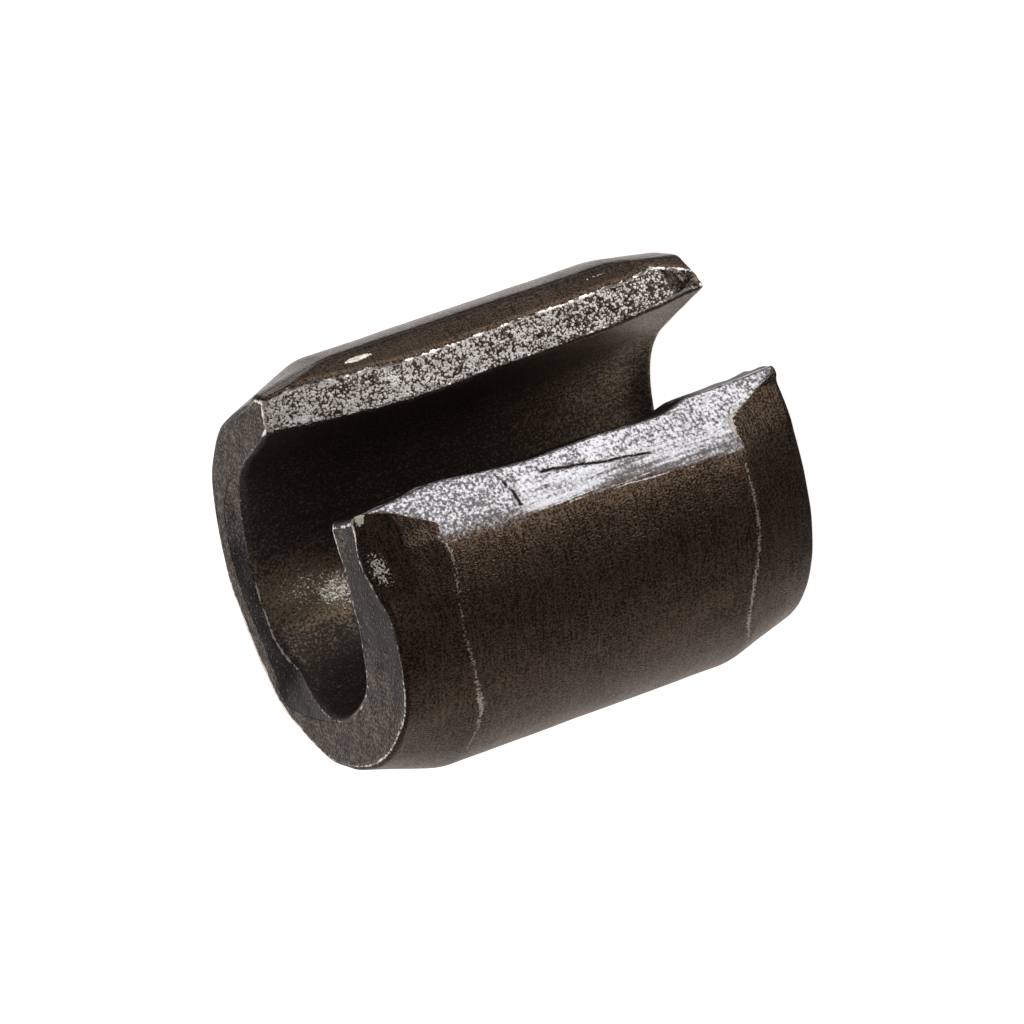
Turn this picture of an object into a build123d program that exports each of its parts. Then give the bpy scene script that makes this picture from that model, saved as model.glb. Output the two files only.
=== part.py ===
"""Slotted spring roll pin: one strip of spring steel rolled into a C, with a lead chamfer at both ends.

The pin stands on its end. +Z is its axis, the origin is the centre of the end it stands on,
and the slot faces -Y. All sizes are in millimetres and degrees.
"""
import os
from math import cos, radians, sin, tan

from build123d import *

# ---- driving dimensions -------------------------------------------------------------------
pin_length = 14.0
body_diameter = 12.8  # free diameter of the body, a little over the hole it is driven into
bore_diameter = 7.5

end_diameter = 11.45  # outside of the flat end faces, where the lead chamfers stop
lead_length = 2.2  # length of the chamfer at each end
lead_blend = 0.6  # radius between the body and a chamfer
rim_round = 0.12  # outer edge of the end faces
bore_break = 0.12  # broken edge at both ends of the bore

# The strip isn't bent quite to its ends, and its two ends aren't bent alike. On each lip the
# bend stops at an angle from the slot's centre, the rest is straight, and a flat is pressed
# on the outside, whose normal leans away from the slot's direction. The lip stops at a
# distance from the slot's centre plane, and its cut face leans away from that plane.
left_bend_angle = 50.0
left_lip_gap = 1.5
left_cut_angle = 50.0
left_flat_depth = 5.62  # from the axis to the pressed flat
left_flat_lean = 15.0
right_bend_angle = 56.0
right_lip_gap = 1.5
right_cut_angle = 38.0
right_flat_depth = 5.6
right_flat_lean = 2.0
lip_round = 0.15  # inner long edges of the cut faces

# The right lip is sheared unevenly: it draws back and stands up towards the top of the pin,
# and at the foot it runs out into a beak.
right_top_gap = 2.35
right_top_cut_angle = 15.0
right_top_length = 3.6  # how far down from the top the lip is drawn back
right_foot_gap = 1.0
right_foot_cut_angle = 80.0
right_foot_length = 2.8  # how far up from the foot the beak runs

# a scoop knocked out of the top rim beside the left lip
scoop_angle = 42.0  # from the slot's centre to the left
scoop_depth_radius = 4.9  # from the axis to its deepest place on the top face
scoop_radius = 2.8  # how hollow it is
scoop_slope = 56.0  # of its floor, away from the axis's direction

mouth_diameter = 8.2  # shallow bevel pressed off centre into the top of the bore
mouth_offset = 1.0
mouth_direction = 44.0  # which way it is off centre, from +X towards +Y
mouth_depth = 0.25
mouth_slope = 12.0

# ---- sizes that follow --------------------------------------------------------------------
body_radius = body_diameter / 2
bore_radius = bore_diameter / 2
end_radius = end_diameter / 2
clear = body_diameter  # how far a cutting shape runs past the pin


def lip_outline(bend_angle: float, lip_gap: float, cut_angle: float) -> list[Vector]:
    """Where the bend of the strip ends, the inner corner of the lip, and a point far out on its cut face.

    The points are for the lip on +X, with the slot facing -Y.
    """
    bend = radians(bend_angle)
    bend_end = Vector(bore_radius * sin(bend), -bore_radius * cos(bend))
    straight = (bend_end.X - lip_gap) / cos(bend)
    corner = bend_end + Vector(-cos(bend), -sin(bend)) * straight
    far = corner + Vector(sin(radians(cut_angle)), -cos(radians(cut_angle))) * clear
    return [bend_end, corner, far]


def mirrored(points: list[Vector]) -> list[Vector]:
    """The same points on the other side of the slot's centre plane."""
    return [Vector(-p.X, p.Y) for p in points]


left_lip = mirrored(lip_outline(left_bend_angle, left_lip_gap, left_cut_angle))
right_lip_by_height = [
    (0.0, right_foot_gap, right_foot_cut_angle),
    (right_foot_length, right_lip_gap, right_cut_angle),
    (pin_length - right_top_length, right_lip_gap, right_cut_angle),
    (pin_length, right_top_gap, right_top_cut_angle),
]

with BuildPart() as roll_pin:
    # the bar that encloses the pin: body, both lead chamfers and the rounded rims
    with BuildSketch(Plane.XZ) as bar_outline:
        with BuildLine():
            Polyline(
                (0, 0),
                (end_radius, 0),
                (body_radius, lead_length),
                (body_radius, pin_length - lead_length),
                (end_radius, pin_length),
                (0, pin_length),
                close=True,
            )
        make_face()
        fillet(bar_outline.vertices().group_by(Axis.X)[-1], lead_blend)
        fillet(bar_outline.vertices().filter_by(lambda v: abs(v.X - end_radius) < rim_round / 10), rim_round)
    revolve(axis=Axis.Z)

    # the bore, with its two broken edges
    with BuildSketch(Plane.XZ):
        with BuildLine():
            Polyline(
                (0, -bore_break),
                (bore_radius + 2 * bore_break, -bore_break),
                (bore_radius, bore_break),
                (bore_radius, pin_length - bore_break),
                (bore_radius + 2 * bore_break, pin_length + bore_break),
                (0, pin_length + bore_break),
                close=True,
            )
        make_face()
    revolve(axis=Axis.Z, mode=Mode.SUBTRACT)

    # the shallow bevel round the mouth of the bore, off centre, so that it fades out on one side
    with Locations(
        (
            mouth_offset * cos(radians(mouth_direction)),
            mouth_offset * sin(radians(mouth_direction)),
            pin_length,
        )
    ):
        Cone(
            mouth_diameter / 2 - mouth_depth / tan(radians(mouth_slope)),
            mouth_diameter / 2,
            mouth_depth,
            align=(Align.CENTER, Align.CENTER, Align.MAX),
            mode=Mode.SUBTRACT,
        )

    # the slot, with the straight ends of the strip and the two cut faces
    for height, gap, cut_angle in right_lip_by_height:
        with BuildSketch(Plane.XY.offset(height)) as opening:
            with BuildLine():
                Polyline(left_lip + lip_outline(right_bend_angle, gap, cut_angle)[::-1], close=True)
            make_face()
            # the two corners where the cut faces leave the straight inner faces
            fillet(opening.vertices().sort_by(Axis.Y)[2:4], lip_round)
    loft(ruled=True, mode=Mode.SUBTRACT)

    # the flat pressed on each lip
    for side, depth, lean in ((-1, left_flat_depth, left_flat_lean), (1, right_flat_depth, right_flat_lean)):
        with BuildSketch(Plane.XY.rotated((0, 0, side * lean))):
            with Locations((side * clear / 2, -depth)):
                Rectangle(clear, clear, align=(Align.CENTER, Align.MAX))
        extrude(amount=pin_length, mode=Mode.SUBTRACT)

    # the scoop: a round bar that lies on the sloping floor of the scoop and takes it away
    outwards = Vector(-sin(radians(scoop_angle)), -cos(radians(scoop_angle)))
    floor = outwards * sin(radians(scoop_slope)) - Vector(0, 0, cos(radians(scoop_slope)))
    off_floor = outwards * cos(radians(scoop_slope)) + Vector(0, 0, sin(radians(scoop_slope)))
    deepest = outwards * scoop_depth_radius + Vector(0, 0, pin_length)
    with Locations(Plane(origin=deepest + off_floor * scoop_radius, x_dir=off_floor, z_dir=floor)):
        Cylinder(scoop_radius, 2 * scoop_radius, mode=Mode.SUBTRACT)

roll_pin.part.label = "roll_pin"
os.makedirs("parts", exist_ok=True)
export_step(roll_pin.part, "parts/roll_pin.step")
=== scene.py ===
"""Looks of a slotted spring roll pin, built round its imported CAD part.

One closed mesh stands for the CAD solid: a strip of spring steel as it is after shearing, rolling and
tempering, with uneven lead chamfers, a flat pressed on each lip, torn cut faces and an off-centre
bevel at the mouth of its bore. The pin stands on its end: +Z is its axis and its slot faces -Y.

Sizes are in millimetres and degrees, and the finished mesh is in metres. A turn is an angle round the
axis, from the slot's centre (-Y) towards +X. "Near" is the free end on top, "far" the standing end.
"""

import logging
from collections.abc import Callable, Iterator
from dataclasses import dataclass, field
from enum import Enum

import bpy
import numpy as np
from mathutils import Matrix, Vector

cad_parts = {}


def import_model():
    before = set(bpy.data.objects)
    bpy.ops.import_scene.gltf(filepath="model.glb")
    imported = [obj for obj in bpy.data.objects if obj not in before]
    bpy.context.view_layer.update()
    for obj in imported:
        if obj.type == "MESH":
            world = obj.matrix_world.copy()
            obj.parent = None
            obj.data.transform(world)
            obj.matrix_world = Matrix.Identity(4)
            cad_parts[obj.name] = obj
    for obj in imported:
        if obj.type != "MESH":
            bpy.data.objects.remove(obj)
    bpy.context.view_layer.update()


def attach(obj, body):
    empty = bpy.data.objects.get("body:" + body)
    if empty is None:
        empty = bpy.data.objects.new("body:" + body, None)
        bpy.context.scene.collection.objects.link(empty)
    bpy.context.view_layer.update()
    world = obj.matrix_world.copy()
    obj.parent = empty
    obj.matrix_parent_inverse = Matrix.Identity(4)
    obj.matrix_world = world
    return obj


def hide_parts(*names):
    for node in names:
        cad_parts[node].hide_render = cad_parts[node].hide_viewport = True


MM = 0.001
FAR_OUT = 99.0  # a radius beyond every part of the pin
NODE = "roll_pin"
BODY = "root"

log = logging.getLogger("roll_pin")

Array = np.ndarray
Node = bpy.types.Node
Socket = bpy.types.NodeSocket
Triple = tuple[float, float, float]
Number = Socket | float
Colour = Socket | Triple

# The zones of the strip, by the sides of its box lattice: first and last lip, end and wall.
ZONES = {"cut_right": (0,), "cut_left": (1,), "ends": (2, 3), "bore": (4,), "skin": (5,)}


# ---- formulas --------------------------------------------------------------------------------


def smooth_min(a: Array, b: Array, width: float) -> Array:
    """The minimum less h * h * width / 4: h is 1 where a and b cross, and 0 where they differ by width."""
    h = np.maximum(width - np.abs(a - b), 0.0) / width
    return np.minimum(a, b) - h * h * width / 4


def retreat(distance: Array, radius: float) -> Array:
    """How far a rounded edge draws a wall back: radius - sqrt(radius^2 - (radius - distance)^2)."""
    left = radius - np.clip(distance, 0.0, radius)
    return radius - np.sqrt(radius**2 - left**2)


def step(x: Array, low: float, high: float) -> Array:
    """A smooth step, 3 t^2 - 2 t^3, from 0 at low to 1 at high."""
    t = np.clip((x - low) / (high - low), 0.0, 1.0)
    return t * t * (3 - 2 * t)


def polar(radius: Array, turn: Array) -> Array:
    """Section points (radius sin turn, -radius cos turn) from radii in mm and turns in radians."""
    return np.stack([radius * np.sin(turn), -radius * np.cos(turn)], axis=-1)


def turn_of(points: Array) -> Array:
    """Turns, 0 to 2 pi radians, of points whose first two columns are x and y."""
    return np.arctan2(points[..., 0], -points[..., 1]) % (2 * np.pi)


def spread(count: int, crowd: float, reach: float) -> Array:
    """Places from 0 to 1 that crowd towards both ends.

    The running sum of steps 1 / (1 + crowd * (exp(-u / reach) + exp(-(1 - u) / reach))).

    Args:
        count: Number of places.
        crowd: How much denser the ends are.
        reach: Share of the range over which the crowding fades.

    Returns:
        The places.
    """
    samples_per_place = 8
    u = np.linspace(0.0, 1.0, count * samples_per_place)
    density = 1.0 + crowd * (np.exp(-u / reach) + np.exp(-(1.0 - u) / reach))
    total = np.concatenate([[0.0], np.cumsum((density[1:] + density[:-1]) / 2)])
    return np.interp(np.linspace(0.0, total[-1], count), total, u)


@dataclass(frozen=True)
class Ripple:
    """Seeded unevenness: a sum of plane waves of one rough wavelength in random directions.

    Attributes:
        seed: Seed of the random directions and phases.
        wavelength: Middle wavelength.
        waves: Number of waves summed.
        stretch: Factors on x, y and z before the sum, so that a wave can be longer one way.
    """

    seed: int
    wavelength: float
    waves: int = 20
    stretch: Triple = (1.0, 1.0, 1.0)

    def __call__(self, points: Array) -> Array:
        """Sum of cos(k . p + phase) over the waves, scaled to about -1 to 1.

        Args:
            points: Places, with x, y and z last.

        Returns:
            One height for each place.
        """
        draw = np.random.default_rng(self.seed)
        heading = draw.normal(size=(self.waves, 3))
        heading /= np.linalg.norm(heading, axis=1, keepdims=True)
        length = self.wavelength * draw.uniform(0.6, 1.6, self.waves)
        k = 2 * np.pi * heading / length[:, None]
        phase = draw.uniform(0.0, 2 * np.pi, self.waves)
        angles = (points * np.array(self.stretch)) @ k.T + phase
        return np.cos(angles).sum(axis=-1) * (2.0 / self.waves) ** 0.5 / 1.5


@dataclass(frozen=True)
class Course:
    """A size that changes smoothly along the axis or round it, through a few marks.

    Attributes:
        marks: Pairs of place and size, in rising order of place.
        period: Where the places start again, or 0 for a course that keeps its end sizes beyond its ends.
    """

    marks: tuple[tuple[float, float], ...]
    period: float = 0.0

    def __call__(self, place: Array) -> Array:
        """Sizes by cubic Hermite curves between the marks, which never pass beyond the marks' own sizes.

        A mark's slope is the harmonic mean of the slopes on its two sides, and 0 where they differ in sign.

        Args:
            place: Places, in the marks' own unit.

        Returns:
            The size at each place.
        """
        at, size = np.array(self.marks).T
        if len(at) == 1:
            return np.full(np.shape(place), size[0])
        if self.period:
            place = place % self.period
            at = np.concatenate([at[-2:] - self.period, at, at[:2] + self.period])
            size = np.concatenate([size[-2:], size, size[:2]])
        place = np.clip(place, at[0], at[-1])
        chord = np.diff(size) / np.diff(at)
        before, after = np.append(chord[0], chord), np.append(chord, chord[-1])
        level = before * after <= 0
        slope = np.where(level, 0.0, 2 * before * after / np.where(level, 1.0, before + after))
        i = np.clip(np.searchsorted(at, place, side="right") - 1, 0, len(at) - 2)
        gap = at[i + 1] - at[i]
        t = (place - at[i]) / gap
        start, end = size[i], size[i + 1]
        lift = slope[i] * gap
        drop = slope[i + 1] * gap
        near_start = (start * (1 + 2 * t) + lift * t) * (1 - t) ** 2
        return near_start + (end * (3 - 2 * t) - drop * (1 - t)) * t**2


def along(*marks: tuple[float, float]) -> Course:
    """A size that changes up the axis: marks of height and size."""
    return Course(marks)


def around(*marks: tuple[float, float]) -> Course:
    """A size that changes round the axis: marks of turn in degrees and size."""
    return Course(marks, 360.0)


# ---- the strip's section ---------------------------------------------------------------------


class Side(Enum):
    """Which lip of the slot: the one on +X or the one on -X."""

    RIGHT = 1.0
    LEFT = -1.0


@dataclass(frozen=True)
class Bar:
    """The bar that the strip's outside lies on: body, lead chamfers and rounded rims.

    Attributes:
        length: Length along the axis.
        radius: Radius of the body.
        lead_blend: Width over which a lead runs into the body.
        rim_round: Radius of the outer edge of the end faces.
        near_rim: Radius of the near end face round the axis, before its edge is rounded.
        near_lead: Length of the near lead round the axis.
        far_rim: Radius of the far end face round the axis, which flares at the lips.
        far_lead: Length of the far lead round the axis, which has no end beside the left lip.
        swell: How far the body stands out towards one turn, and in on the other side, up the axis.
        swell_turn: That turn.
        gouge: Depth of the gouge in the near lead beside the left lip, at the end face, round the axis.
        gouge_reach: Distance from the end at which the gouge runs out.
    """

    length: float = 14.0
    radius: float = 6.4
    lead_blend: float = 0.06
    rim_round: float = 0.13
    near_rim: Course = around(
        (10, 5.9), (34, 6.0), (43, 5.7), (52, 5.64), (60, 5.68), (73, 5.83), (80, 5.84), (94, 5.91),
        (108, 5.81), (120, 5.82), (131, 5.91), (138, 5.86), (156, 6.0), (169, 6.16), (181, 5.94),
        (197, 5.89), (208, 5.74), (226, 5.63), (242, 5.66), (256, 5.74), (272, 5.96), (292, 5.84),
        (312, 5.66), (330, 5.58), (350, 5.65),
    )
    near_lead: Course = around(
        (20, 2.1), (60, 2.0), (90, 2.2), (200, 2.3), (235, 2.38), (250, 2.5), (261, 2.57), (266, 2.64),
        (271, 2.54), (283, 2.28), (294, 2.02), (303, 2.06), (312, 2.16), (318.5, 2.19), (320.8, 2.62),
        (323.2, 2.99), (327.3, 2.78), (329.7, 2.54), (331.8, 1.36), (333.5, 0.9), (350, 1.6),
    )
    far_rim: Course = around(
        (20, 6.1), (28, 6.0), (34, 5.95), (44, 5.95), (54, 6.0), (90, 5.85), (180, 5.8), (216, 5.88),
        (238, 5.86), (256, 5.86), (284, 5.81), (300, 5.76), (311, 5.77), (317, 5.87), (327, 5.91),
        (328.2, 6.0), (329.3, 6.13), (345, 6.3),
    )
    far_lead: Course = around(
        (20, 2.3), (60, 2.4), (180, 2.2), (248, 2.0), (264, 2.28), (276, 2.24), (284, 2.1), (296, 2.03),
        (305, 2.06), (311.7, 2.12), (315.7, 2.72), (319, 3.97), (320.5, 5.1), (322.8, 7.2), (324.5, 8.0),
        (345, 8.0),
    )
    swell: Course = along((1.5, 0.08), (4, 0.05), (9, -0.03), (12, -0.07))
    swell_turn: float = 240.0
    gouge: Course = around(
        (298, 0.0), (302, 0.1), (307, 0.45), (312, 0.66), (317.5, 0.82), (322, 0.78), (326, 0.56),
        (330, 0.2), (334, 0.0),
    )
    gouge_reach: float = 1.0

    def body(self, turn: Array, height: Array) -> Array:
        """Radius of the body, which stands out towards one turn."""
        return self.radius + self.swell(height) * np.cos(turn - np.radians(self.swell_turn))

    def leads(self, turn: Array, height: Array) -> Array:
        """Radius of the nearer lead, which grows with the distance from its end up to the body's.

        The gouge takes away its depth times (1 - distance / reach).

        Args:
            turn: Turns in radians.
            height: Heights above the far end.

        Returns:
            The smaller of the two leads' radii at each turn and height.
        """
        degrees = np.degrees(turn)
        above = self.length - height
        near_rim, far_rim = self.near_rim(degrees), self.far_rim(degrees)
        near = near_rim + (self.radius - near_rim) * above / self.near_lead(degrees)
        near = near - self.gouge(degrees) * np.clip(1.0 - above / self.gouge_reach, 0.0, 1.0)
        return np.minimum(near, far_rim + (self.radius - far_rim) * height / self.far_lead(degrees))


@dataclass(frozen=True)
class Lip:
    """One edge of the strip at the slot, in its own frame: the lip on +X, the slot facing -Y.

    Attributes:
        side: Which lip it is.
        bend_angle: Turn at which the bend of the strip stops. Nearer the slot its inside is straight.
        gap: Distance of the inner corner from the slot's centre plane.
        cut_angle: Lean of the cut face away from that plane.
        flat_depth: Distance of the pressed flat from the axis.
        flat_lean: Lean of the flat's normal away from the slot's direction.
        flat_blend: Width over which the flat runs into the round body.
        edge_round: Reach of the rounding of the cut face's long edges.
        near_round: Radius of the cut face's edge at the near end.
        far_round: The same at the far end.
        flat_limit: Cosine of the angle from the flat's normal beyond which a turn doesn't meet the flat.
    """

    side: Side
    bend_angle: Course
    gap: Course
    cut_angle: Course
    flat_depth: Course
    flat_lean: Course
    flat_blend: float = 0.12
    edge_round: float = 0.12
    near_round: float = 0.12
    far_round: float = 0.12
    flat_limit: float = 0.2

    def own_turn(self, turn: Array) -> Array:
        """Turn measured from the slot's centre towards this lip, -pi to pi."""
        return (turn * self.side.value + np.pi) % (2 * np.pi) - np.pi

    def gap_at(self, height: Array, length: float) -> Array:
        """Distance of the inner corner from the centre plane, with both ends rounded off."""
        return self.gap(height) + retreat(length - height, self.near_round) + retreat(height, self.far_round)

    def flat(self, turn: Array, height: Array) -> Array:
        """Radius at which a turn meets the flat, depth / cos(turn - lean), or far out if it doesn't.

        Args:
            turn: Turns in radians.
            height: Heights above the far end.

        Returns:
            The radius at each turn and height.
        """
        across = np.cos(self.own_turn(turn) - np.radians(self.flat_lean(height)))
        met = self.flat_depth(height) / np.maximum(across, self.flat_limit)
        return np.where(across > self.flat_limit, met, FAR_OUT)


@dataclass(frozen=True)
class Mouth:
    """The ends of the bore: a shallow bevel pressed into the near one, and walls pushed in or out at both.

    Attributes:
        edge: Radius at which the near end face gives way to the bevel, round the axis.
        slope: Slope of the bevel below the end face.
        blend: Width over which the bevel's edge is eased.
        reach: Distance below the end over which the wall's rows follow the bevel.
        near_push: How far the bore's wall is pushed outwards at the near end, round the axis.
        near_reach: Distance over which that fades, round the axis.
        near_fade: Power of 1 - distance / reach by which it fades.
        far_push: The same push at the far end.
        far_reach: Distance over which that fades.
        far_fade: Power by which it fades.
    """

    edge: Course = around(
        (20, 3.6), (62, 3.75), (83, 4.70), (94, 5.02), (103, 5.15), (128, 5.1), (149, 5.02), (160, 5.2),
        (169, 5.72), (179, 5.26), (193, 4.68), (211, 4.22), (231, 3.9), (250, 3.6), (270, 3.0), (300, 3.0),
    )
    slope: float = 13.0
    blend: float = 0.1
    reach: float = 2.0
    near_push: Course = around(
        (18, 0.75), (33, 0.7), (44, 0.54), (58, 0.48), (72, 0.45), (140, 0.42), (150, 0.5), (165, 0.45),
        (200, 0.4), (215, 0.28), (228, 0.1), (240, 0.0), (253, -0.06), (264, -0.25), (277, -0.5),
        (290, -0.58), (301, -0.7), (312, -0.6), (320, -0.5), (330, -0.58), (337, -0.58), (347, -0.5),
    )
    near_reach: Course = around((20, 4.5), (50, 4.5), (90, 2.6), (200, 2.6), (250, 1.2), (345, 1.2))
    near_fade: float = 1.3
    far_push: Course = around(
        (12, -0.1), (50, -0.1), (70, -0.2), (90, -0.32), (110, -0.42), (180, -0.2), (300, 0.0),
    )
    far_reach: float = 1.0
    far_fade: float = 2.0

    def depth(self, points: Array) -> Array:
        """Depth below the end face: tan(slope) times the distance inside the bevel's edge, eased in.

        Args:
            points: Places, with x and y first.

        Returns:
            The depth at each place, 0 outside the edge.
        """
        inside = self.edge(np.degrees(turn_of(points))) - np.hypot(points[..., 0], points[..., 1])
        eased = -smooth_min(-inside, np.zeros_like(inside), self.blend)
        return np.tan(np.radians(self.slope)) * eased

    def push(self, turn: Array, height: Array, length: float) -> Array:
        """How far the bore's wall stands outside its true radius.

        Args:
            turn: Turns in radians.
            height: Heights above the far end.
            length: Length of the pin.

        Returns:
            Each end's push, as it has faded at each turn and height.
        """
        degrees = np.degrees(turn)
        near = np.clip(1.0 - (length - height) / self.near_reach(degrees), 0.0, 1.0) ** self.near_fade
        far = np.clip(1.0 - height / self.far_reach, 0.0, 1.0) ** self.far_fade
        return self.near_push(degrees) * near + self.far_push(degrees) * far


@dataclass(frozen=True)
class Groove:
    """A crack or a step on the left flat.

    Attributes:
        line: Its course, as (x, height) places.
        depth: Depth of its middle.
        width: Distance from its line at which about a third of the depth is left.
        front: Only places with a smaller y than this are touched.
    """

    line: tuple[tuple[float, float], ...]
    depth: float
    width: float
    front: float = -3.0

    def nearness(self, points: Array) -> Array:
        """exp(-(distance / width)^2), with the distance measured to the nearest stretch of the line.

        Args:
            points: Places, with x, y and z last.

        Returns:
            1 on the line, falling to 0, and 0 on the far side of the pin.
        """
        line = np.array(self.line)
        start, way = line[:-1], np.diff(line, axis=0)
        offset = points[..., None, (0, 2)] - start
        share = np.clip((offset * way).sum(axis=-1) / (way**2).sum(axis=-1), 0.0, 1.0)
        distance = np.linalg.norm(offset - share[..., None] * way, axis=-1).min(axis=-1)
        return np.exp(-((distance / self.width) ** 2)) * (points[..., 1] < self.front)


@dataclass(frozen=True)
class PaintedGlint:
    """A spot of painted highlight: steel coloured bright where it would catch the light.

    Attributes:
        middle: Its middle, x, y and z.
        reach: Distances along x, y and z at which about a third of it is left.
        strength: Its value at the middle.
    """

    middle: Triple
    reach: Triple
    strength: float = 1.0

    def nearness(self, points: Array) -> Array:
        """strength * exp(-distance^2), with the distance measured in reaches."""
        offset = (points - np.array(self.middle)) / np.array(self.reach)
        return self.strength * np.exp(-(offset**2).sum(axis=-1))


@dataclass(frozen=True)
class WearAndGlint:
    """Where edges show a pale line, partly bare steel and partly a painted highlight: half the line's width,
    round the axis.

    Attributes:
        near_rim: Outer edge of the near end face.
        near_mouth: Inner edge of the near end face and of the bore.
        far_rim: Both edges of the far end face.
        near_crease: Edge between the near lead and the body.
        far_crease: Edge between the far lead and the body.
        lip: Outer long edges of both cut faces.
        lip_inside: Their inner long edges.
        end_reach: Distance from an end within which an edge counts as the end face's.
    """

    near_rim: Course = around(
        (14, 0.13), (30, 0.12), (42, 0.0), (120, 0.0), (136, 0.11), (168, 0.11), (185, 0.02), (230, 0.045),
        (260, 0.05), (285, 0.03), (300, 0.01), (322, 0.02), (330, 0.08), (345, 0.08),
    )
    near_mouth: Course = around(
        (14, 0.09), (34, 0.09), (42, 0.0), (125, 0.0), (135, 0.04), (160, 0.05), (175, 0.0), (230, 0.02),
        (300, 0.03), (345, 0.07),
    )
    far_rim: Course = around((15, 0.11), (30, 0.07), (60, 0.03), (250, 0.02), (315, 0.03), (335, 0.09))
    near_crease: Course = around(
        (235, 0.0), (250, 0.04), (264, 0.05), (268, 0.07), (274, 0.035), (300, 0.03), (312, 0.06),
        (320, 0.065), (324, 0.0),
    )
    far_crease: Course = around(
        (242, 0.0), (254, 0.05), (268, 0.065), (300, 0.06), (314, 0.03), (318, 0.05), (323, 0.05),
        (326, 0.0),
    )
    lip: float = 0.062
    lip_inside: float = 0.02
    end_reach: float = 0.25


# ---- finish ----------------------------------------------------------------------------------


class Graph:
    """A material's nodes, with one method for each kind that the finish is made of."""

    def __init__(self, name: str) -> None:
        """Starts a material with its one shader and a place in millimetres.

        Args:
            name: Name of the material.
        """
        self.material = bpy.data.materials.new(name)
        self.material.use_nodes = True
        self.tree = self.material.node_tree
        self.shader = self.tree.nodes["Principled BSDF"]
        place = self.node("TexCoord", {}).outputs["Object"]
        self.place = self.stretched(place, (1.0 / MM, 1.0 / MM, 1.0 / MM))

    def feed(self, socket: Socket, value: Number | Colour) -> None:
        """Links a socket's value, or sets it where it is a constant.

        Args:
            socket: The input that is fed.
            value: What feeds it: a node's output or a constant.
        """
        if isinstance(value, Socket):
            self.tree.links.new(value, socket)
        elif isinstance(value, tuple) and socket.type == "RGBA":
            socket.default_value = (*value, 1.0)
        else:
            socket.default_value = value

    def node(self, kind: str, inputs: dict[int | str, Number | Colour], **settings: str) -> Node:
        """A new node.

        Args:
            kind: Its type, without ShaderNode in front.
            inputs: What feeds its inputs, by their names or numbers.
            settings: Its settings, by their names.

        Returns:
            The node.
        """
        node = self.tree.nodes.new("ShaderNode" + kind)
        for name, setting in settings.items():
            setattr(node, name, setting)
        for name, value in inputs.items():
            self.feed(node.inputs[name], value)
        return node

    def stretched(self, vector: Socket, factors: Triple) -> Socket:
        """A vector times three factors."""
        return self.node("Mapping", {"Vector": vector, "Scale": factors}).outputs["Vector"]

    def field(self, name: str) -> Socket:
        """A value stored on the mesh."""
        return self.node("Attribute", {}, attribute_name=name).outputs["Fac"]

    def along(self, axis: str) -> Socket:
        """The place along X, Y or Z, in millimetres."""
        return self.node("SeparateXYZ", {0: self.place}).outputs[axis]

    def noise(self, size: float, stretch: Triple = (1.0, 1.0, 1.0), detail: float = 2.0) -> Socket:
        """Cloudy noise, 0 to 1 round 0.5.

        Args:
            size: Width of its blots in millimetres, before the stretch.
            stretch: Factors on x, y and z, which make the blots as much narrower.
            detail: How many finer layers of noise lie on it.

        Returns:
            Its value.
        """
        place = self.stretched(self.place, stretch)
        inputs = {"Vector": place, "Scale": 1.0 / size, "Detail": detail, "Roughness": 0.6}
        return self.node("TexNoise", inputs).outputs["Fac"]

    def cells(self, size: float) -> tuple[Socket, Socket]:
        """Random cells about size mm wide: the distance from their middles, and a random value for each."""
        node = self.node("TexVoronoi", {"Vector": self.place, "Scale": 1.0 / size})
        return node.outputs["Distance"], node.outputs["Color"]

    def times(self, first: Number, second: Number) -> Socket:
        """The product of two values."""
        return self.node("Math", {0: first, 1: second}, operation="MULTIPLY").outputs[0]

    def unsigned(self, value: Number) -> Socket:
        """A value without its sign."""
        return self.node("Math", {0: value}, operation="ABSOLUTE").outputs[0]

    def total(self, *parts: tuple[Socket, float]) -> Number:
        """The sum of values, each times its weight.

        Args:
            parts: Pairs of value and weight.

        Returns:
            The sum.
        """
        result: Number = 0.0
        for value, weight in parts:
            result = self.node("Math", {0: value, 1: weight, 2: result}, operation="MULTIPLY_ADD").outputs[0]
        return result

    def ramp(self, value: Number, low: float, high: float, start: float = 0.0, end: float = 1.0) -> Socket:
        """A smooth step of a value, from start at low to end at high."""
        inputs = {"Value": value, "From Min": low, "From Max": high, "To Min": start, "To Max": end}
        return self.node("MapRange", inputs, interpolation_type="SMOOTHSTEP").outputs["Result"]

    def ragged(self, name: str, low: float, high: float, *parts: tuple[Socket, float]) -> Socket:
        """A smooth step, from 0 at low to 1 at high, of a stored value with weighted noise on it."""
        return self.ramp(self.total((self.field(name), 1.0), *parts), low, high)

    def blend(self, share: Number, first: Number, second: Number) -> Socket:
        """A number between two, by share."""
        return self.node("Mix", {"Factor": share, 2: first, 3: second}, data_type="FLOAT").outputs[0]

    def mix(self, share: Number, first: Colour, second: Colour) -> Socket:
        """A colour between two, by share."""
        return self.node("Mix", {"Factor": share, 6: first, 7: second}, data_type="RGBA").outputs[2]


@dataclass
class Layer:
    """What a finish is at each place: colour, roughness, metal share and height in hundredths of a mm."""

    colour: Colour
    roughness: Number
    metallic: Number
    height: Number


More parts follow.
